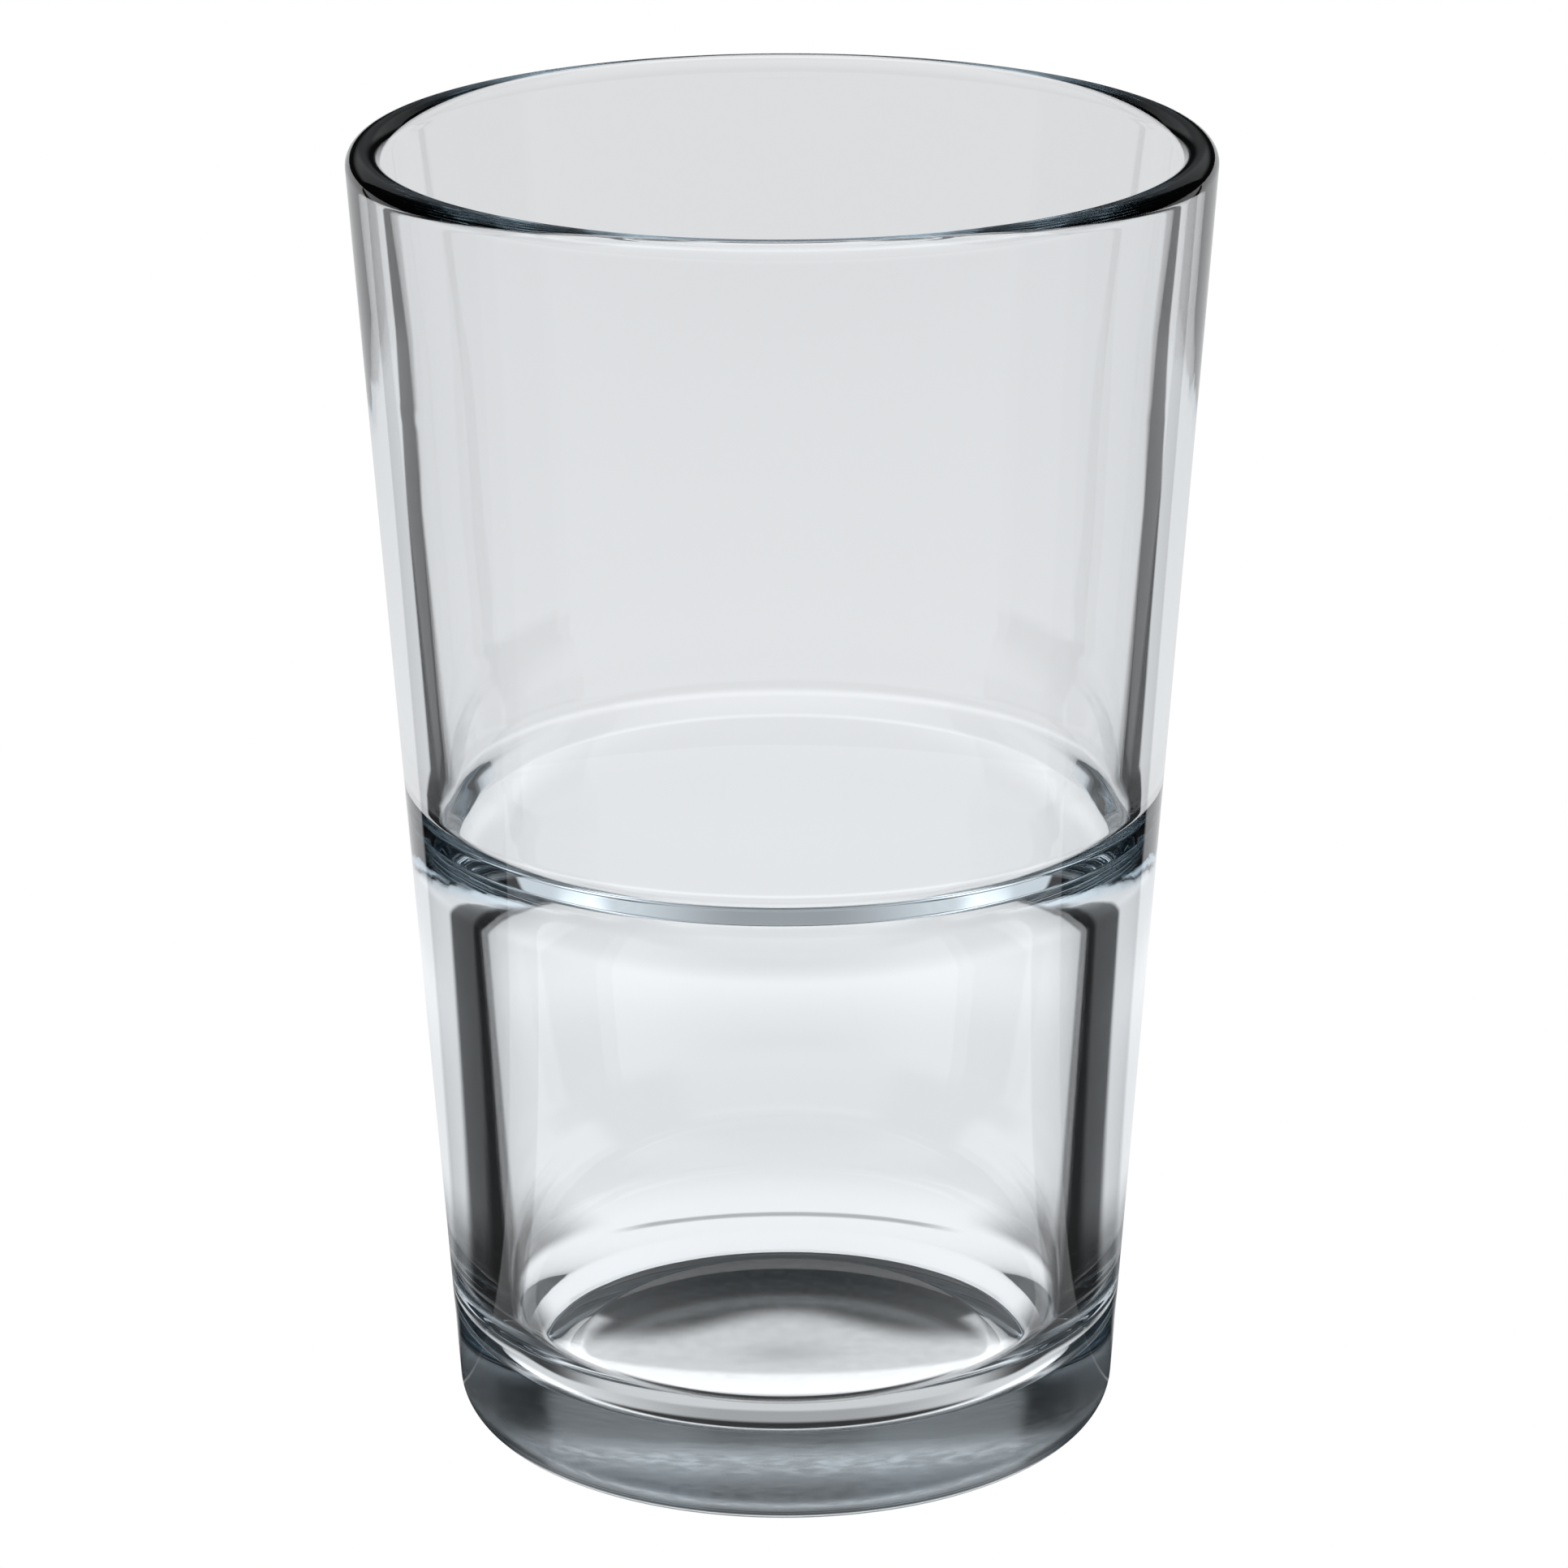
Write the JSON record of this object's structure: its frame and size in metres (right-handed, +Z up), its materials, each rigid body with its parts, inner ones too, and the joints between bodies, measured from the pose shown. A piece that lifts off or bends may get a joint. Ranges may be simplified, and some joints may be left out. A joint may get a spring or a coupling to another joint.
{
  "type": "juice glass",
  "caption": "Clear stackable juice glass: straight tapered outside, inner stacking shoulder, thick-walled lower hollow and a rounded foot.",
  "frame": {"origin": "centre of the foot, on the surface that the glass stands on", "axes": "+Z up along the axis of revolution, from the foot to the rim; X and Y are free because the glass is round"},
  "size_m": [0.0698, 0.0698, 0.109],
  "materials": {
    "clear_glass": "clear pressed soda-lime glass, fire-polished"
  },
  "bodies": {
    "root": {"glass_body": "clear_glass"}
  },
  "joints": []
}
